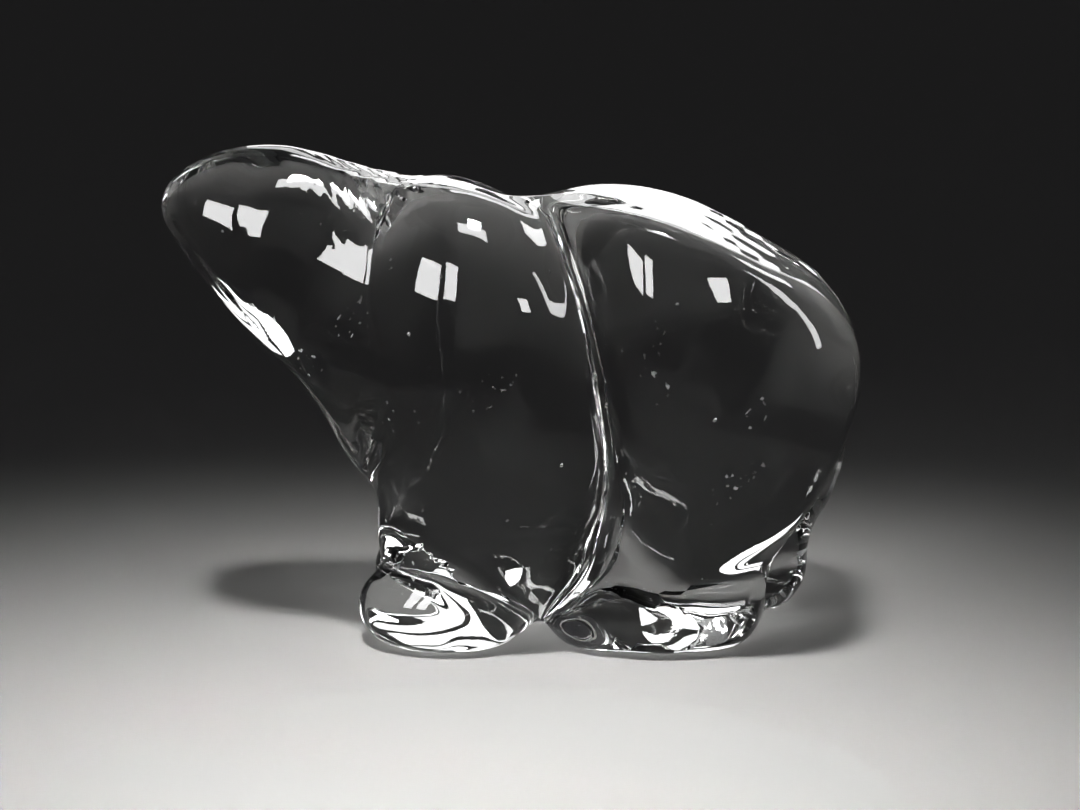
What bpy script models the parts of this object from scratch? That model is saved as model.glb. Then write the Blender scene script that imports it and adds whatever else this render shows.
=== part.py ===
"""Standing polar bear figurine: one solid piece of clear crystal glass.

The bear faces -X and stands on Z = 0, with the origin under the middle of its overall box.
Its shape is a distance-like field in millimetres, negative inside the glass. Rounded masses
(head, shoulders, hips, legs, feet) are blended together, the side profile trims them to the
flat-topped back, and the field is then turned into one closed skin of quads.
"""

import bmesh
import bpy
import numpy as np

MM = 0.001

# Grid step of the skin and the box it is searched in, in millimetres.
CELL = 2.6
SEARCH_BOX = ((-62.0, -33.0, -5.0), (62.0, 33.0, 88.0))
# Corners within this share of a cell of the ground are set on it.
SNAP = 0.3
# Step for slopes of the field, in millimetres, and the least squared slope that is trusted.
PROBE = 0.05
LEAST_SLOPE = 0.2
# Keeps a division safe at the centre of a rounded mass.
TINY = 1e-9

# Side profile of the body above the legs: (x, z) points that steer a smooth closed curve.
MUZZLE_LINE = ((-58.2, 69.5), (-58.4, 73.6), (-56.0, 76.8), (-51.0, 79.7))
CROWN_LINE = ((-45.0, 81.5), (-38.5, 81.2), (-31.0, 78.8))
WITHERS_LINE = ((-24.0, 76.8), (-16.0, 76.4), (-9.0, 76.0), (-1.0, 74.8), (6.0, 74.0))
BACK_LINE = ((14.0, 73.6), (21.0, 72.6), (28.0, 70.6), (35.0, 67.4), (41.0, 64.2))
RUMP_LINE = ((47.0, 61.4), (52.2, 57.0), (56.6, 51.4), (57.4, 45.0), (54.6, 38.0), (51.4, 31.0),
             (46.5, 22.0))
BELLY_LINE = ((36.0, 17.0), (18.0, 15.0), (0.0, 15.0), (-15.0, 18.0))
CHEST_LINE = ((-22.6, 24.0), (-27.6, 30.5), (-30.6, 38.0), (-34.0, 43.2))
THROAT_LINE = ((-40.5, 48.6), (-47.0, 56.4), (-53.6, 64.0))
CURVE_STEPS = 8

# The rounded masses: centre, radii and, for some, how far the axis leans along X per unit of height.
# The shoulder, thigh, hip, belly, legs, paws, toe and heel are mirrored to the far side.
HEAD = ((-37, 0, 61), (23, 15.5, 21.2))
MUZZLE = ((-50, 0, 70.5), (12, 9, 9.5))
NECK = ((-20, 0, 51), (20, 19, 27))
SHOULDER = ((-0.5, 9, 44), (22.5, 18.5, 33), -0.15)
WITHERS = ((-6, 0, 47), (28, 16, 30))
THIGH = ((26.5, 9, 47), (17.5, 18.5, 28))
HIP = ((34, 8, 42), (27, 19.5, 38), -0.32)
RUMP = ((36, 0, 42), (26.5, 17, 38), -0.32)
LOIN = ((16, 0, 46), (34, 22, 34))
FORE_LEG = ((0, 12, 27), (21.5, 14, 26.5), 0.22)
FORE_PAW = ((-10.5, 12.5, 6.2), (15.1, 11.8, 8.9))
HIND_LEG = ((33, 12, 30), (18, 14.5, 29), 0.36)
HIND_PAW = ((23.4, 11.7, 6.4), (17.3, 11.7, 8.8))
BELLY = ((11, 8, 22), (22, 14.5, 19.5))
HIND_TOE = ((13, 12, 3.4), (9, 9, 5.8))
HEEL = ((32.4, 11.5, 11), (9.5, 10, 12.5))

# Groove that parts each front quarter from its hind quarter, as (x, y, z) from the spine to the ground.
GROOVE = ((1.5, 0.0, 76.0), (2.4, 7.0, 75.5), (5.6, 15.0, 72.4), (9.0, 21.5, 65.5), (13.4, 25.5, 56.0),
          (16.6, 27.0, 46.0), (17.0, 27.0, 35.0), (16.6, 26.5, 23.0), (14.6, 25.0, 14.0), (8.6, 22.0, 6.5),
          (4.5, 17.0, -3.0))
GROOVE_DEPTH = 4.6
GROOVE_WIDTH = 3.6
# The groove runs slightly askew over the back: this much further forward at the spine.
GROOVE_SKEW = 2.6
# Half the width over which the groove changes from one side to the other.
HALF_SPINE = 12.0
# How much deeper the groove is on the far side, as a share of its depth.
FAR_GROOVE = 0.6
# Softer crease between the neck and the shoulder.
NECK_CREASE = ((-17.0, 2.0, 77.0), (-20.0, 11.0, 74.0), (-22.5, 17.0, 65.0), (-22.0, 19.0, 55.0),
               (-18.0, 21.0, 46.0))
NECK_CREASE_DEPTH = 1.3
NECK_CREASE_WIDTH = 3.6
# How much a distance across the body counts against one along it, when measuring to a groove.
ACROSS = 0.35
# Roundness at the bottom of a groove or crease.
CREASE_FLOOR = 1.5

# Radius of the edge where the side profile trims the rounded masses.
TRIM_EDGE = 2.0
# Blend radii between neighbouring masses, and the softness of the carved notches.
WITHERS_BLEND = 10.0
NECK_BLEND = 6.0
QUARTER_BLEND = 3.5
LEG_BLEND = 4.0
PAW_BLEND = 3.0
CARVE_EDGE = 2.5

# How far the far-side hind paw stands behind the near-side one, the height above which the two hind
# legs are alike, and the height over which the stride builds up below that.
STRIDE = 8.0
STRIDE_TOP = 55.0
STRIDE_FADE = 41.0
# The notches between the two front legs and between the two hind legs: centre on the ground and radii.
FRONT_NOTCH = ((-33.0, 0.0, 0.0), (22.0, 5.0, 31.0))
REAR_NOTCH = ((56.0, 0.0, 0.0), (21.0, 4.5, 21.0))


def spline(controls, steps, closed):
    """Points along the cubic B-spline of the control points."""
    controls = np.array(controls)
    if closed:
        loop = np.concatenate([controls[-1:], controls, controls[:2]])
    else:
        loop = np.concatenate([controls[:1], controls, controls[-1:]])
    points = []
    for a, b, c, d in zip(loop, loop[1:], loop[2:], loop[3:]):
        for t in np.arange(steps) / steps:
            inner = (3 * t ** 3 - 6 * t ** 2 + 4) * b + (-3 * t ** 3 + 3 * t ** 2 + 3 * t + 1) * c
            points.append(((1 - t) ** 3 * a + inner + t ** 3 * d) / 6)
    return np.array(points)


PROFILE = spline(MUZZLE_LINE + CROWN_LINE + WITHERS_LINE + BACK_LINE + RUMP_LINE + BELLY_LINE + CHEST_LINE
                 + THROAT_LINE, CURVE_STEPS, True)
GROOVE_PATH = spline(GROOVE, CURVE_STEPS // 2, False)
CREASE_PATH = spline(NECK_CREASE, CURVE_STEPS // 2, False)


def profile_distance(x, z):
    """Signed distance from (x, z) to the side profile, negative inside."""
    nearest = np.full(np.shape(x), np.inf)
    crossings = np.zeros(np.shape(x), dtype=int)
    for (ax, az), (bx, bz) in zip(PROFILE, np.roll(PROFILE, -1, axis=0)):
        dx = bx - ax
        dz = bz - az
        along = np.clip(((x - ax) * dx + (z - az) * dz) / (dx * dx + dz * dz), 0, 1)
        nearest = np.minimum(nearest, (x - ax - along * dx) ** 2 + (z - az - along * dz) ** 2)
        if dz:
            crossings += ((az > z) != (bz > z)) & (x < ax + (z - az) * dx / dz)
    return np.where(crossings % 2 == 1, -1, 1) * np.sqrt(nearest)


def furrow(x, y, z, path, depth, width):
    """Depth to sink the surface by along a path; distance across the body counts for less."""
    stretch = np.array([1.0, ACROSS, 1.0])
    spot = np.stack([x, y, z], axis=-1) * stretch
    nearest = np.full(np.shape(x), np.inf)
    for a, b in zip(path * stretch, path[1:] * stretch):
        run = b - a
        along = np.clip((spot - a) @ run / (run @ run), 0, 1)
        nearest = np.minimum(nearest, ((spot - a - along[..., None] * run) ** 2).sum(-1))
    return depth * np.exp(-np.sqrt(nearest + CREASE_FLOOR ** 2) / width)


def blob(x, y, z, centre, radii, lean=0.0):
    """Distance-like field of an ellipsoid whose axis leans along X by lean per unit of height."""
    u = (x - centre[0] - lean * (z - centre[2])) / radii[0]
    v = (y - centre[1]) / radii[1]
    w = (z - centre[2]) / radii[2]
    reach = np.sqrt(u * u + v * v + w * w) + TINY
    rise = w / radii[2] - lean * u / radii[0]
    slope = np.sqrt((u / radii[0]) ** 2 + (v / radii[1]) ** 2 + rise ** 2) + TINY
    return reach * (reach - 1) / slope


def blend(a, b, radius):
    """Union of two fields with a fillet of the given radius."""
    h = np.clip(0.5 + 0.5 * (b - a) / radius, 0, 1)
    return b + (a - b) * h - radius * h * (1 - h)


def trim(a, b, radius):
    """Intersection of two fields with a rounded edge of the given radius."""
    return -blend(-a, -b, radius)


def torso(x, y, z):
    """Head, neck, shoulders and hips, trimmed to the side profile."""
    side = np.abs(y)
    head = blob(x, y, z, *HEAD)
    muzzle = blob(x, y, z, *MUZZLE)
    neck = blob(x, y, z, *NECK)
    shoulder = blob(x, side, z, *SHOULDER)
    withers = blob(x, y, z, *WITHERS)
    thigh = blob(x, side, z, *THIGH)
    hip = blob(x, side, z, *HIP)
    rump = blob(x, y, z, *RUMP)
    loin = blob(x, y, z, *LOIN)
    front = blend(blend(head, muzzle, NECK_BLEND), neck, NECK_BLEND)
    fore = blend(shoulder, withers, LEG_BLEND)
    hind = blend(blend(blend(hip, rump, LEG_BLEND), loin, LEG_BLEND), thigh, NECK_BLEND)
    whole = blend(blend(front, fore, WITHERS_BLEND), hind, QUARTER_BLEND)
    return trim(whole, profile_distance(x, z), TRIM_EDGE)


def legs(x, y, z):
    """Four legs with rounded paws; the far hind leg stands a little further back."""
    side = np.abs(y)
    fade = np.clip((STRIDE_TOP - z) / STRIDE_FADE, 0, 1)
    step = np.where(y > 0, STRIDE, 0) * fade * fade * (3 - 2 * fade)
    fore_leg = blob(x, side, z, *FORE_LEG)
    fore_paw = blob(x, side, z, *FORE_PAW)
    hind_leg = blob(x - step, side, z, *HIND_LEG)
    hind_paw = blob(x - step, side, z, *HIND_PAW)
    belly = blob(x, side, z, *BELLY)
    fore = blend(fore_leg, fore_paw, PAW_BLEND)
    hind_toe = blob(x - step, side, z, *HIND_TOE)
    heel = blob(x - step, side, z, *HEEL)
    hind_foot = blend(blend(hind_paw, hind_toe, PAW_BLEND), heel, PAW_BLEND)
    hind = blend(hind_leg, hind_foot, PAW_BLEND)
    return blend(blend(fore, hind, QUARTER_BLEND), belly, QUARTER_BLEND)


def bear_field(points):
    """Field of the whole bear at an array of points in millimetres."""
    x, y, z = points[..., 0], points[..., 1], points[..., 2]
    side = np.abs(y)
    body = blend(torso(x, y, z), legs(x, y, z), LEG_BLEND)
    turn = np.clip(y / HALF_SPINE, -1, 1)
    askew = x + GROOVE_SKEW * (1 + turn)
    deepened = 1 + FAR_GROOVE * np.maximum(turn, 0)
    body = body + deepened * furrow(askew, side, z, GROOVE_PATH, GROOVE_DEPTH, GROOVE_WIDTH)
    body = body + furrow(x, side, z, CREASE_PATH, NECK_CREASE_DEPTH, NECK_CREASE_WIDTH)
    notch = np.minimum(blob(x, y, z, *FRONT_NOTCH), blob(x, y, z, *REAR_NOTCH))
    return trim(body, -notch, CARVE_EDGE)


def skin(field, low, high, step):
    """Closed quad skin of the zero level of a field: one corner per crossed cell."""
    axes = [np.arange(a, b + step, step) for a, b in zip(low, high)]
    grid = np.stack(np.meshgrid(*axes, indexing="ij"), axis=-1)
    value = field(grid)
    shape = np.array(value.shape) - 1
    total = np.zeros((*shape, 3))
    count = np.zeros(shape)
    corners = [np.array(c) for c in np.ndindex(2, 2, 2)]
    for a in corners:
        for b in corners:
            if np.sum(b - a) != 1 or np.any(b < a):
                continue
            va = value[tuple(slice(i, i + n) for i, n in zip(a, shape))]
            vb = value[tuple(slice(i, i + n) for i, n in zip(b, shape))]
            crossed = (va < 0) != (vb < 0)
            share = np.where(crossed, va / np.where(crossed, va - vb, 1), 0)
            total += crossed[..., None] * (a + share[..., None] * (b - a))
            count += crossed
    used = count > 0
    number = np.full(shape, -1)
    number[used] = np.arange(used.sum())
    corner = np.stack(np.nonzero(used), axis=1) + total[used] / count[used][:, None]
    points = corner * step + np.array(low)
    quads = []
    for axis in range(3):
        one, two = (axis + 1) % 3, (axis + 2) % 3
        span = [slice(1, n) for n in shape]
        span[axis] = slice(0, shape[axis])
        here = value[tuple(span)]
        step_on = [slice(s.start + (i == axis), s.stop + (i == axis)) for i, s in enumerate(span)]
        ahead = value[tuple(step_on)]
        for sign in (True, False):
            cell = np.stack(np.nonzero(((here < 0) == sign) & ((ahead < 0) != sign)), axis=1)
            cell = cell + np.array([s.start for s in span])
            back_one, back_two = np.eye(3, dtype=int)[one], np.eye(3, dtype=int)[two]
            ring = (cell - back_one - back_two, cell - back_two, cell, cell - back_one)
            ring = ring if sign else ring[::-1]
            quads.append(np.stack([number[tuple(c.T)] for c in ring], axis=1))
    return points, np.concatenate(quads)


def settle(field, points, rounds=3):
    """Move points onto the zero level of the field."""
    for _ in range(rounds):
        rise = [field(points + step) - field(points - step) for step in PROBE * np.eye(3)]
        slope = np.stack(rise, axis=1) / (2 * PROBE)
        steep = np.maximum((slope ** 2).sum(axis=1), LEAST_SLOPE)
        points = points - slope * (field(points) / steep)[:, None]
    return points


def clear_scene():
    """Remove every object that is already in the scene."""
    for thing in list(bpy.data.objects):
        bpy.data.objects.remove(thing)


def glass():
    """Clear crystal glass."""
    material = bpy.data.materials.new("crystal_glass")
    material.use_nodes = True
    shader = material.node_tree.nodes["Principled BSDF"]
    shader.inputs["Base Color"].default_value = (0.96, 0.98, 0.97, 1)
    shader.inputs["Roughness"].default_value = 0.02
    shader.inputs["IOR"].default_value = 1.54
    shader.inputs["Transmission Weight"].default_value = 1.0
    return material


def glass_bear():
    """The bear, cut flat where its paws stand on the ground."""
    points, quads = skin(bear_field, *SEARCH_BOX, CELL)
    points = settle(bear_field, points)
    middle = (points.min(axis=0) + points.max(axis=0)) / 2
    points = points - middle * (1, 1, 0)
    mesh = bpy.data.meshes.new("glass_bear")
    mesh.from_pydata((points * MM).tolist(), [], quads.tolist())
    body = bmesh.new()
    body.from_mesh(mesh)
    for vert in body.verts:
        if abs(vert.co.z) < SNAP * CELL * MM:
            vert.co.z = 0
    cut = bmesh.ops.bisect_plane(body, geom=body.verts[:] + body.edges[:] + body.faces[:], dist=1e-6,
                                 plane_co=(0, 0, 0), plane_no=(0, 0, 1), clear_inner=True)
    rim = [g for g in cut["geom_cut"] if isinstance(g, bmesh.types.BMEdge)]
    bmesh.ops.holes_fill(body, edges=rim)
    bmesh.ops.triangulate(body, faces=[f for f in body.faces if len(f.verts) > 4])
    loose = [edge for edge in body.edges if not edge.link_faces]
    bmesh.ops.delete(body, geom=loose, context="EDGES")
    bmesh.ops.recalc_face_normals(body, faces=body.faces)
    body.to_mesh(mesh)
    body.free()
    bear = bpy.data.objects.new("glass_bear", mesh)
    bpy.context.scene.collection.objects.link(bear)
    mesh.materials.append(glass())
    return bear


clear_scene()
glass_bear()
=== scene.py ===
"""Studio scene of the crystal glass bear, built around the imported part.

The visible bear repeats the part's shape field at a finer step and adds what the part leaves out:
rounded soles, fire-polish ripples, tool marks and seed bubbles, all as real geometry.
"""

import math

import bmesh
import bpy
import numpy as np
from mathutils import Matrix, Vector


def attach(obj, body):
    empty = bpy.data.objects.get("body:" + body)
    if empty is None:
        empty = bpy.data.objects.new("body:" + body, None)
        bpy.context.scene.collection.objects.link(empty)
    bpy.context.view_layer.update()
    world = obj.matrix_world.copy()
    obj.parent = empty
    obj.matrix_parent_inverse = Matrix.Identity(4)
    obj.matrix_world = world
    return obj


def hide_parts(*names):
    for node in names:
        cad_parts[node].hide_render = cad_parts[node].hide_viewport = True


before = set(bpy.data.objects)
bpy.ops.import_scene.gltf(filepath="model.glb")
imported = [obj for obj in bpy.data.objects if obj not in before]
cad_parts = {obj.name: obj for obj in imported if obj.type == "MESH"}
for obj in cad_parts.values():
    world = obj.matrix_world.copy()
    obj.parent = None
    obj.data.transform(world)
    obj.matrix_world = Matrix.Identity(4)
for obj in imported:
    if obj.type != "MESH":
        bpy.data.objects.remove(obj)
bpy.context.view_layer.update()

MM = 0.001

# Grid step of the skin, how often its quads are split, and the box it is searched in, in millimetres.
CELL = 2.4
SPLITS = 2
SEARCH_BOX = ((-62.0, -33.0, -5.0), (62.0, 33.0, 88.0))
# Step for slopes of the field, in millimetres, and the least squared slope that is trusted.
PROBE = 0.05
LEAST_SLOPE = 0.2
# Keeps a division safe at the centre of a rounded mass.
TINY = 1e-9

# Height of the ripples in the fire-polished skin, in millimetres.
RIPPLE = 0.025
# Depth of the tool marks, the place on the nape where they are strongest, and how far they reach.
TOOL_MARK = 0.06
NAPE = (-24.0, 0.0, 76.0)
NAPE_LENGTH = 8.0
NAPE_HEIGHT = 6.0
# Roundness of the edge of each sole, and the rings that cooling left in it: where, how deep, how far
# apart and how wide.
SOLE_EDGE = 1.6
PAWS = ((-11.0, -12.5), (-11.0, 12.5), (22.5, -12.0), (30.0, 12.0))
SOLE_RIPPLE = 0.09
SOLE_PITCH = 2.8
SOLE_SPREAD = 8.5

# Seed bubbles in the glass: centre and radii in millimetres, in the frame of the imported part.
SEEDS = (((13.8, -16.5, 46.0), (0.75, 0.75, 0.75)), ((16.6, -16.0, 45.4), (0.3, 0.3, 0.3)),
         ((16.5, -15.0, 41.6), (0.62, 0.45, 0.42)), ((7.0, -12.0, 31.5), (0.25, 0.25, 0.3)),
         ((27.5, -14.0, 57.0), (0.22, 0.22, 0.22)), ((-14.0, -11.0, 52.0), (0.25, 0.25, 0.25)),
         ((33.0, -9.0, 39.0), (0.3, 0.3, 0.36)), ((-31.0, -6.0, 68.0), (0.2, 0.2, 0.2)),
         ((4.0, -10.0, 60.0), (0.2, 0.2, 0.24)), ((24.0, -12.0, 28.0), (0.24, 0.24, 0.24)))
SEED_RINGS = 8

# The camera: where it looks, from which side, how far away, and its lens.
LOOK_AT = Vector((0.0045, 0.0, 0.0376))
AZIMUTH = math.radians(3)
ELEVATION = math.radians(12)
DISTANCE = 0.429
LENS = 85.0

# The glass surface: faint smears, patches of dried specks and a barely raised texture. Scales are per
# metre, and a pattern counts only where its noise is above the low end of its range.
SMEAR_SCALE = 45.0
SMEAR_RANGE = (0.55, 0.8)
SMEAR_ROUGHNESS = 0.05
SPECK_SCALE = 1100.0
SPECK_RANGE = (0.66, 0.7)
SPECK_PATCH_SCALE = 90.0
SPECK_PATCH_RANGE = (0.67, 0.71)
DRAW_SCALE = 260.0
DRAW_RANGE = (0.3, 0.7)
DRAW_HEIGHT = 0.4
BUMP_STRENGTH = 0.12
BUMP_HEIGHT = 0.0001

# The stage: a flat round floor that sweeps up into a wall, a hair below the soles.
FLOOR_COLOUR = (0.66, 0.655, 0.64)
FLOOR_GAP = 0.00005
SWEEP_START = 0.95
SWEEP_RADIUS = 0.6
SWEEP_HEIGHT = 2.2
SWEEP_STEPS = 9
SWEEP_TURNS = 96

# The lamps all stand this far from a point in the bear, or the key from a point on the floor before it.
LAMP_AIM = Vector((0.0, 0.0, 0.05))
FLOOR_AIM = Vector((0.0, -0.1, 0.0))
LAMP_DISTANCE = 0.8

# Side profile of the body above the legs: (x, z) points that steer a smooth closed curve.
MUZZLE_LINE = ((-58.2, 69.5), (-58.4, 73.6), (-56.0, 76.8), (-51.0, 79.7))
CROWN_LINE = ((-45.0, 81.5), (-38.5, 81.2), (-31.0, 78.8))
WITHERS_LINE = ((-24.0, 76.8), (-16.0, 76.4), (-9.0, 76.0), (-1.0, 74.8), (6.0, 74.0))
BACK_LINE = ((14.0, 73.6), (21.0, 72.6), (28.0, 70.6), (35.0, 67.4), (41.0, 64.2))
RUMP_LINE = ((47.0, 61.4), (52.2, 57.0), (56.6, 51.4), (57.4, 45.0), (54.6, 38.0), (51.4, 31.0),
             (46.5, 22.0))
BELLY_LINE = ((36.0, 17.0), (18.0, 15.0), (0.0, 15.0), (-15.0, 18.0))
CHEST_LINE = ((-22.6, 24.0), (-27.6, 30.5), (-30.6, 38.0), (-34.0, 43.2))
THROAT_LINE = ((-40.5, 48.6), (-47.0, 56.4), (-53.6, 64.0))
CURVE_STEPS = 8

# The rounded masses: centre, radii and, for some, how far the axis leans along X per unit of height.
# The shoulder, thigh, hip, belly, legs, paws, toe and heel are mirrored to the far side.
HEAD = ((-37, 0, 61), (23, 15.5, 21.2))
MUZZLE = ((-50, 0, 70.5), (12, 9, 9.5))
NECK = ((-20, 0, 51), (20, 19, 27))
SHOULDER = ((-0.5, 9, 44), (22.5, 18.5, 33), -0.15)
WITHERS = ((-6, 0, 47), (28, 16, 30))
THIGH = ((26.5, 9, 47), (17.5, 18.5, 28))
HIP = ((34, 8, 42), (27, 19.5, 38), -0.32)
RUMP = ((36, 0, 42), (26.5, 17, 38), -0.32)
LOIN = ((16, 0, 46), (34, 22, 34))
FORE_LEG = ((0, 12, 27), (21.5, 14, 26.5), 0.22)
FORE_PAW = ((-10.5, 12.5, 6.2), (15.1, 11.8, 8.9))
HIND_LEG = ((33, 12, 30), (18, 14.5, 29), 0.36)
HIND_PAW = ((23.4, 11.7, 6.4), (17.3, 11.7, 8.8))
BELLY = ((11, 8, 22), (22, 14.5, 19.5))
HIND_TOE = ((13, 12, 3.4), (9, 9, 5.8))
HEEL = ((32.4, 11.5, 11), (9.5, 10, 12.5))

# Groove that parts each front quarter from its hind quarter, as (x, y, z) from the spine to the ground.
GROOVE = ((1.5, 0.0, 76.0), (2.4, 7.0, 75.5), (5.6, 15.0, 72.4), (9.0, 21.5, 65.5), (13.4, 25.5, 56.0),
          (16.6, 27.0, 46.0), (17.0, 27.0, 35.0), (16.6, 26.5, 23.0), (14.6, 25.0, 14.0), (8.6, 22.0, 6.5),
          (4.5, 17.0, -3.0))
GROOVE_DEPTH = 4.6
GROOVE_WIDTH = 3.6
# The groove runs slightly askew over the back: this much further forward at the spine.
GROOVE_SKEW = 2.6
# Half the width over which the groove changes from one side to the other.
HALF_SPINE = 12.0
# How much deeper the groove is on the far side, as a share of its depth.
FAR_GROOVE = 0.6
# Softer crease between the neck and the shoulder.
NECK_CREASE = ((-17.0, 2.0, 77.0), (-20.0, 11.0, 74.0), (-22.5, 17.0, 65.0), (-22.0, 19.0, 55.0),
               (-18.0, 21.0, 46.0))
NECK_CREASE_DEPTH = 1.3
NECK_CREASE_WIDTH = 3.6
# How much a distance across the body counts against one along it, when measuring to a groove.
ACROSS = 0.35
# Roundness at the bottom of a groove or crease.
CREASE_FLOOR = 1.5

# Radius of the edge where the side profile trims the rounded masses.
TRIM_EDGE = 2.0
# Blend radii between neighbouring masses, and the softness of the carved notches.
WITHERS_BLEND = 10.0
NECK_BLEND = 6.0
QUARTER_BLEND = 3.5
LEG_BLEND = 4.0
PAW_BLEND = 3.0
CARVE_EDGE = 2.5

# How far the far-side hind paw stands behind the near-side one, the height above which the two hind
# legs are alike, and the height over which the stride builds up below that.
STRIDE = 8.0
STRIDE_TOP = 55.0
STRIDE_FADE = 41.0
# The notches between the two front legs and between the two hind legs: centre on the ground and radii.
FRONT_NOTCH = ((-33.0, 0.0, 0.0), (22.0, 5.0, 31.0))
REAR_NOTCH = ((56.0, 0.0, 0.0), (21.0, 4.5, 21.0))


def spline(controls, steps, closed):
    """Points along the cubic B-spline of the control points."""
    controls = np.array(controls)
    if closed:
        loop = np.concatenate([controls[-1:], controls, controls[:2]])
    else:
        loop = np.concatenate([controls[:1], controls, controls[-1:]])
    points = []
    for a, b, c, d in zip(loop, loop[1:], loop[2:], loop[3:]):
        for t in np.arange(steps) / steps:
            inner = (3 * t ** 3 - 6 * t ** 2 + 4) * b + (-3 * t ** 3 + 3 * t ** 2 + 3 * t + 1) * c
            points.append(((1 - t) ** 3 * a + inner + t ** 3 * d) / 6)
    return np.array(points)


PROFILE = spline(MUZZLE_LINE + CROWN_LINE + WITHERS_LINE + BACK_LINE + RUMP_LINE + BELLY_LINE + CHEST_LINE
                 + THROAT_LINE, CURVE_STEPS, True)
GROOVE_PATH = spline(GROOVE, CURVE_STEPS // 2, False)
CREASE_PATH = spline(NECK_CREASE, CURVE_STEPS // 2, False)


def profile_distance(x, z):
    """Signed distance from (x, z) to the side profile, negative inside."""
    nearest = np.full(np.shape(x), np.inf)
    crossings = np.zeros(np.shape(x), dtype=int)
    for (ax, az), (bx, bz) in zip(PROFILE, np.roll(PROFILE, -1, axis=0)):
        dx = bx - ax
        dz = bz - az
        along = np.clip(((x - ax) * dx + (z - az) * dz) / (dx * dx + dz * dz), 0, 1)
        nearest = np.minimum(nearest, (x - ax - along * dx) ** 2 + (z - az - along * dz) ** 2)
        if dz:
            crossings += ((az > z) != (bz > z)) & (x < ax + (z - az) * dx / dz)
    return np.where(crossings % 2 == 1, -1, 1) * np.sqrt(nearest)


def furrow(x, y, z, path, depth, width):
    """Depth to sink the surface by along a path; distance across the body counts for less."""
    stretch = np.array([1.0, ACROSS, 1.0])
    spot = np.stack([x, y, z], axis=-1) * stretch
    nearest = np.full(np.shape(x), np.inf)
    for a, b in zip(path * stretch, path[1:] * stretch):
        run = b - a
        along = np.clip((spot - a) @ run / (run @ run), 0, 1)
        nearest = np.minimum(nearest, ((spot - a - along[..., None] * run) ** 2).sum(-1))
    return depth * np.exp(-np.sqrt(nearest + CREASE_FLOOR ** 2) / width)


def blob(x, y, z, centre, radii, lean=0.0):
    """Distance-like field of an ellipsoid whose axis leans along X by lean per unit of height."""
    u = (x - centre[0] - lean * (z - centre[2])) / radii[0]
    v = (y - centre[1]) / radii[1]
    w = (z - centre[2]) / radii[2]
    reach = np.sqrt(u * u + v * v + w * w) + TINY
    rise = w / radii[2] - lean * u / radii[0]
    slope = np.sqrt((u / radii[0]) ** 2 + (v / radii[1]) ** 2 + rise ** 2) + TINY
    return reach * (reach - 1) / slope


def blend(a, b, radius):
    """Union of two fields with a fillet of the given radius."""
    h = np.clip(0.5 + 0.5 * (b - a) / radius, 0, 1)
    return b + (a - b) * h - radius * h * (1 - h)


def trim(a, b, radius):
    """Intersection of two fields with a rounded edge of the given radius."""
    return -blend(-a, -b, radius)


def torso(x, y, z):
    """Head, neck, shoulders and hips, trimmed to the side profile."""
    side = np.abs(y)
    head = blob(x, y, z, *HEAD)
    muzzle = blob(x, y, z, *MUZZLE)
    neck = blob(x, y, z, *NECK)
    shoulder = blob(x, side, z, *SHOULDER)
    withers = blob(x, y, z, *WITHERS)
    thigh = blob(x, side, z, *THIGH)
    hip = blob(x, side, z, *HIP)
    rump = blob(x, y, z, *RUMP)
    loin = blob(x, y, z, *LOIN)
    front = blend(blend(head, muzzle, NECK_BLEND), neck, NECK_BLEND)
    fore = blend(shoulder, withers, LEG_BLEND)
    hind = blend(blend(blend(hip, rump, LEG_BLEND), loin, LEG_BLEND), thigh, NECK_BLEND)
    whole = blend(blend(front, fore, WITHERS_BLEND), hind, QUARTER_BLEND)
    return trim(whole, profile_distance(x, z), TRIM_EDGE)


def legs(x, y, z):
    """Four legs with rounded paws; the far hind leg stands a little further back."""
    side = np.abs(y)
    fade = np.clip((STRIDE_TOP - z) / STRIDE_FADE, 0, 1)
    step = np.where(y > 0, STRIDE, 0) * fade * fade * (3 - 2 * fade)
    fore_leg = blob(x, side, z, *FORE_LEG)
    fore_paw = blob(x, side, z, *FORE_PAW)
    hind_leg = blob(x - step, side, z, *HIND_LEG)
    hind_paw = blob(x - step, side, z, *HIND_PAW)
    belly = blob(x, side, z, *BELLY)
    fore = blend(fore_leg, fore_paw, PAW_BLEND)
    hind_toe = blob(x - step, side, z, *HIND_TOE)
    heel = blob(x - step, side, z, *HEEL)
    hind_foot = blend(blend(hind_paw, hind_toe, PAW_BLEND), heel, PAW_BLEND)
    hind = blend(hind_leg, hind_foot, PAW_BLEND)
    return blend(blend(fore, hind, QUARTER_BLEND), belly, QUARTER_BLEND)


def bear_field(points):
    """Field of the whole bear at an array of points in millimetres."""
    x, y, z = points[..., 0], points[..., 1], points[..., 2]
    side = np.abs(y)
    body = blend(torso(x, y, z), legs(x, y, z), LEG_BLEND)
    turn = np.clip(y / HALF_SPINE, -1, 1)
    askew = x + GROOVE_SKEW * (1 + turn)
    deepened = 1 + FAR_GROOVE * np.maximum(turn, 0)
    body = body + deepened * furrow(askew, side, z, GROOVE_PATH, GROOVE_DEPTH, GROOVE_WIDTH)
    body = body + furrow(x, side, z, CREASE_PATH, NECK_CREASE_DEPTH, NECK_CREASE_WIDTH)
    notch = np.minimum(blob(x, y, z, *FRONT_NOTCH), blob(x, y, z, *REAR_NOTCH))
    return trim(body, -notch, CARVE_EDGE)


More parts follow.
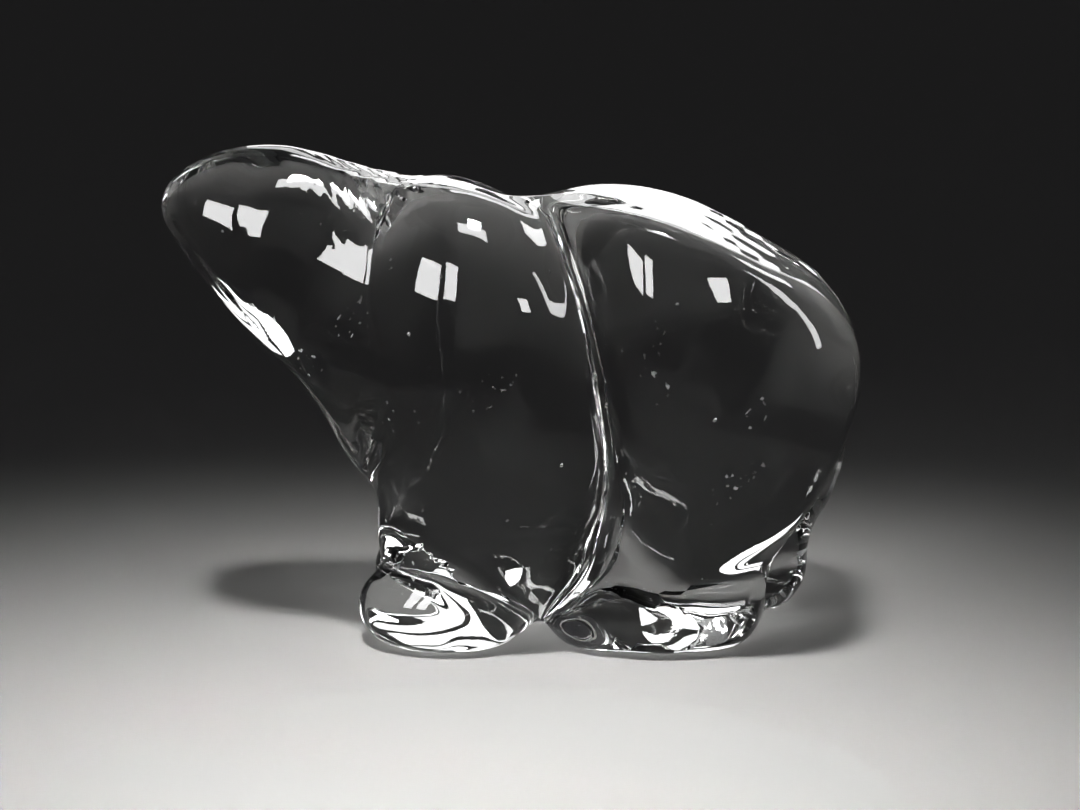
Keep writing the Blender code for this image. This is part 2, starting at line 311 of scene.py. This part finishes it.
def skin(field, low, high, step):
    """Closed quad skin of the zero level of a field: one corner per crossed cell."""
    axes = [np.arange(a, b + step, step) for a, b in zip(low, high)]
    grid = np.stack(np.meshgrid(*axes, indexing="ij"), axis=-1)
    value = field(grid)
    shape = np.array(value.shape) - 1
    total = np.zeros((*shape, 3))
    count = np.zeros(shape)
    corners = [np.array(c) for c in np.ndindex(2, 2, 2)]
    for a in corners:
        for b in corners:
            if np.sum(b - a) != 1 or np.any(b < a):
                continue
            va = value[tuple(slice(i, i + n) for i, n in zip(a, shape))]
            vb = value[tuple(slice(i, i + n) for i, n in zip(b, shape))]
            crossed = (va < 0) != (vb < 0)
            share = np.where(crossed, va / np.where(crossed, va - vb, 1), 0)
            total += crossed[..., None] * (a + share[..., None] * (b - a))
            count += crossed
    used = count > 0
    number = np.full(shape, -1)
    number[used] = np.arange(used.sum())
    corner = np.stack(np.nonzero(used), axis=1) + total[used] / count[used][:, None]
    points = corner * step + np.array(low)
    quads = []
    for axis in range(3):
        one, two = (axis + 1) % 3, (axis + 2) % 3
        span = [slice(1, n) for n in shape]
        span[axis] = slice(0, shape[axis])
        here = value[tuple(span)]
        step_on = [slice(s.start + (i == axis), s.stop + (i == axis)) for i, s in enumerate(span)]
        ahead = value[tuple(step_on)]
        for sign in (True, False):
            cell = np.stack(np.nonzero(((here < 0) == sign) & ((ahead < 0) != sign)), axis=1)
            cell = cell + np.array([s.start for s in span])
            back_one, back_two = np.eye(3, dtype=int)[one], np.eye(3, dtype=int)[two]
            ring = (cell - back_one - back_two, cell - back_two, cell, cell - back_one)
            ring = ring if sign else ring[::-1]
            quads.append(np.stack([number[tuple(c.T)] for c in ring], axis=1))
    return points, np.concatenate(quads)


def polished_field(points):
    """The bear with rippled soles, tool marks at the nape and the slow waves of a fire-polished skin."""
    x, y, z = points[..., 0], points[..., 1], points[..., 2]
    wave = np.sin(0.71 * x + 0.35 * z + 1.3 * np.sin(0.21 * y)) * np.sin(0.52 * z - 0.3 * x + 0.4 * y + 0.7)
    wave = wave + 0.6 * np.sin(0.43 * x - 0.64 * z + 0.5 * y + 2.1)
    at_nape = np.exp(-((x - NAPE[0]) / NAPE_LENGTH) ** 2 - ((z - NAPE[2]) / NAPE_HEIGHT) ** 2)
    marks = np.sin(2.3 * x + 1.1 * z + 1.6 * np.sin(0.45 * y)) * np.sin(0.9 * y + 0.8 * x) * at_nape
    hollow = np.zeros(np.shape(x))
    for px, py in PAWS:
        reach = np.hypot(x - px, 1.2 * (y - py))
        fade = np.exp(-(reach / SOLE_SPREAD) ** 2)
        hollow = hollow + SOLE_RIPPLE * (1 + np.cos(2 * np.pi * reach / SOLE_PITCH)) * fade
    return trim(bear_field(points) + RIPPLE * wave + TOOL_MARK * marks, hollow - z, SOLE_EDGE)


def slope_of(field, points):
    """Gradient of the field by central differences."""
    rise = [field(points + step) - field(points - step) for step in PROBE * np.eye(3)]
    return np.stack(rise, axis=1) / (2 * PROBE)


def settle(field, points, rounds):
    """Move points onto the zero level of the field."""
    for _ in range(rounds):
        slope = slope_of(field, points)
        steep = np.maximum((slope ** 2).sum(axis=1), LEAST_SLOPE)
        points = points - slope * (field(points) / steep)[:, None]
    return points


def split(points, quads):
    """Each quad parted into four."""
    sides = np.stack([quads, np.roll(quads, -1, axis=1)], axis=-1)
    pairs, which = np.unique(np.sort(sides.reshape(-1, 2), axis=1), axis=0, return_inverse=True)
    which = which.reshape(quads.shape) + len(points)
    centre = np.arange(len(quads)) + len(points) + len(pairs)
    finer = [np.stack([quads[:, i], which[:, i], centre, which[:, i - 1]], axis=1) for i in range(4)]
    every = np.concatenate([points, points[pairs].mean(axis=1), points[quads].mean(axis=1)])
    return every, np.concatenate(finer)


def glass_material():
    """Clear crystal glass: polished, with faint smears, a few dried specks and fine draw lines."""
    material = bpy.data.materials.new("crystal_glass_look")
    material.use_nodes = True
    nodes = material.node_tree.nodes
    link = material.node_tree.links.new
    shader = nodes["Principled BSDF"]
    shader.inputs["Base Color"].default_value = (0.985, 0.99, 0.985, 1)
    shader.inputs["IOR"].default_value = 1.54
    shader.inputs["Transmission Weight"].default_value = 1.0
    place = nodes.new("ShaderNodeTexCoord").outputs["Object"]

    def noise(scale, detail, span, top):
        """A noise pattern that is 0 below the span and rises to top at its upper end."""
        pattern = nodes.new("ShaderNodeTexNoise")
        pattern.inputs["Scale"].default_value = scale
        pattern.inputs["Detail"].default_value = detail
        link(place, pattern.inputs["Vector"])
        ramp = nodes.new("ShaderNodeMapRange")
        ramp.inputs["From Min"].default_value = span[0]
        ramp.inputs["From Max"].default_value = span[1]
        ramp.inputs["To Max"].default_value = top
        link(pattern.outputs["Fac"], ramp.inputs["Value"])
        return ramp.outputs["Result"]

    def combined(operation, one, two):
        """Two values put together by a maths node."""
        maths = nodes.new("ShaderNodeMath")
        maths.operation = operation
        link(one, maths.inputs[0])
        link(two, maths.inputs[1])
        return maths.outputs["Value"]

    smear = noise(SMEAR_SCALE, 3, SMEAR_RANGE, SMEAR_ROUGHNESS)
    patch = noise(SPECK_PATCH_SCALE, 1, SPECK_PATCH_RANGE, 1.0)
    speck = combined("MULTIPLY", noise(SPECK_SCALE, 2, SPECK_RANGE, 1.0), patch)
    link(combined("MAXIMUM", smear, speck), shader.inputs["Roughness"])
    bump = nodes.new("ShaderNodeBump")
    bump.inputs["Strength"].default_value = BUMP_STRENGTH
    bump.inputs["Distance"].default_value = BUMP_HEIGHT
    drawn = noise(DRAW_SCALE, 4, DRAW_RANGE, DRAW_HEIGHT)
    link(combined("MAXIMUM", drawn, speck), bump.inputs["Height"])
    link(bump.outputs["Normal"], shader.inputs["Normal"])
    return material


def seed_bubble(centre, radii):
    """Points, faces and normals of one bubble; its skin faces the air inside it."""
    ball = bmesh.new()
    bmesh.ops.create_uvsphere(ball, u_segments=2 * SEED_RINGS, v_segments=SEED_RINGS, radius=1)
    out = np.array([list(vert.co) for vert in ball.verts])
    faces = [[vert.index for vert in reversed(face.verts)] for face in ball.faces]
    ball.free()
    return centre + out * radii, faces, -out


def glass_bear():
    """The visible bear with its seed bubbles, and shading normals straight from the field."""
    points, quads = skin(polished_field, *SEARCH_BOX, CELL)
    points = settle(polished_field, points, 3)
    middle = (points.min(axis=0) + points.max(axis=0)) / 2
    for _ in range(SPLITS):
        points, quads = split(points, quads)
        points = settle(polished_field, points, 1)
    normals = slope_of(polished_field, points)
    normals /= np.linalg.norm(normals, axis=1)[:, None]
    points = points - middle * (1, 1, 0)
    faces = quads.tolist()
    for centre, radii in SEEDS:
        skin_points, skin_faces, skin_normals = seed_bubble(np.array(centre), np.array(radii))
        faces += [[i + len(points) for i in face] for face in skin_faces]
        points = np.concatenate([points, skin_points])
        normals = np.concatenate([normals, skin_normals])
    mesh = bpy.data.meshes.new("bear_glass")
    mesh.from_pydata((points * MM).tolist(), [], faces)
    mesh.polygons.foreach_set("use_smooth", [True] * len(mesh.polygons))
    mesh.normals_split_custom_set_from_vertices(normals.tolist())
    mesh.materials.append(glass_material())
    bear = bpy.data.objects.new("bear_glass", mesh)
    bpy.context.scene.collection.objects.link(bear)
    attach(bear, "root")
    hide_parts("glass_bear")


def plain_material(name, colour, roughness):
    """A plain matt finish for the stage, with no sheen, so that the panels don't show in it."""
    material = bpy.data.materials.new(name)
    material.use_nodes = True
    shader = material.node_tree.nodes["Principled BSDF"]
    shader.inputs["Base Color"].default_value = (*colour, 1)
    shader.inputs["Roughness"].default_value = roughness
    shader.inputs["Specular IOR Level"].default_value = 0.0
    return material


def floor():
    """Pale floor that sweeps up into a wall all round, well outside the lamps."""
    profile = [(0, 0), (0.3, 0), (0.6, 0), (SWEEP_START, 0)]
    for turn in np.linspace(0, math.pi / 2, SWEEP_STEPS)[1:]:
        profile.append((SWEEP_START + SWEEP_RADIUS * math.sin(turn), SWEEP_RADIUS * (1 - math.cos(turn))))
    profile.append((SWEEP_START + SWEEP_RADIUS, SWEEP_HEIGHT))
    sweep = bmesh.new()
    rim = [sweep.verts.new((reach, 0, rise)) for reach, rise in profile]
    edges = [sweep.edges.new(pair) for pair in zip(rim, rim[1:])]
    bmesh.ops.spin(sweep, geom=rim + edges, cent=(0, 0, 0), axis=(0, 0, 1), angle=2 * math.pi,
                   steps=SWEEP_TURNS, use_duplicate=False)
    bmesh.ops.remove_doubles(sweep, verts=sweep.verts, dist=1e-6)
    mesh = bpy.data.meshes.new("floor")
    sweep.to_mesh(mesh)
    sweep.free()
    mesh.polygons.foreach_set("use_smooth", [True] * len(mesh.polygons))
    mesh.materials.append(plain_material("floor_matt", FLOOR_COLOUR, 0.75))
    slab = bpy.data.objects.new("floor", mesh)
    slab.location.z = -FLOOR_GAP
    bpy.context.scene.collection.objects.link(slab)


def softbox(name, side, rise, size, radiance, spread=180, on_floor=False):
    """A rectangular lamp: side and rise are its compass bearing from +Y and its height in degrees."""
    data = bpy.data.lights.new(name, "AREA")
    data.shape = "RECTANGLE"
    data.size, data.size_y = size
    data.energy = radiance * math.pi * size[0] * size[1]
    data.spread = math.radians(spread)
    side = math.radians(side)
    rise = math.radians(rise)
    toward = Vector((math.sin(side) * math.cos(rise), math.cos(side) * math.cos(rise), math.sin(rise)))
    lamp = bpy.data.objects.new(name, data)
    lamp.location = (FLOOR_AIM if on_floor else LAMP_AIM) + toward * LAMP_DISTANCE
    lamp.rotation_euler = toward.to_track_quat("Z", "Y").to_euler()
    lamp.visible_camera = False
    lamp.visible_diffuse = on_floor
    bpy.context.scene.collection.objects.link(lamp)


def lights():
    """One overhead key lights the floor; the other panels only show in the glass, not on the floor."""
    softbox("key", 190, 78, (0.16, 0.12), 2.7, 23, True)
    softbox("overhead", 190, 66, (0.3, 0.11), 15.0)
    softbox("back_low", 4, 8, (0.5, 0.09), 2.2)
    softbox("back_middle", 4, 17, (0.5, 0.1), 1.5)
    softbox("back_high", 8, 29, (0.34, 0.14), 4.0)
    softbox("back_left", -42, 30, (0.06, 0.3), 5.0)
    softbox("back_right", 58, 40, (0.2, 0.14), 12.0)
    softbox("front_left_a", -150, 29, (0.12, 0.26), 16.0)
    softbox("front_left_b", -136, 27, (0.15, 0.24), 16.0)
    softbox("front_right", 143, 29, (0.16, 0.11), 16.0)
    softbox("side_right", 105, 30, (0.07, 0.3), 12.0)
    world = bpy.data.worlds.new("room")
    world.use_nodes = True
    world.node_tree.nodes["Background"].inputs["Color"].default_value = (0.03, 0.03, 0.032, 1)
    bpy.context.scene.world = world
    bpy.context.scene.view_settings.view_transform = "Standard"


def camera():
    """The camera, level and looking slightly down at the bear."""
    back = Vector((math.sin(AZIMUTH) * math.cos(ELEVATION), -math.cos(AZIMUTH) * math.cos(ELEVATION),
                   math.sin(ELEVATION)))
    data = bpy.data.cameras.new("camera")
    data.lens = LENS
    data.sensor_width = 36.0
    data.clip_start = 0.01
    eye = bpy.data.objects.new("camera", data)
    eye.location = LOOK_AT + back * DISTANCE
    eye.rotation_euler = (-back).to_track_quat("-Z", "Y").to_euler()
    bpy.context.scene.collection.objects.link(eye)
    bpy.context.scene.camera = eye


camera()
glass_bear()
floor()
lights()
bpy.context.view_layer.update()
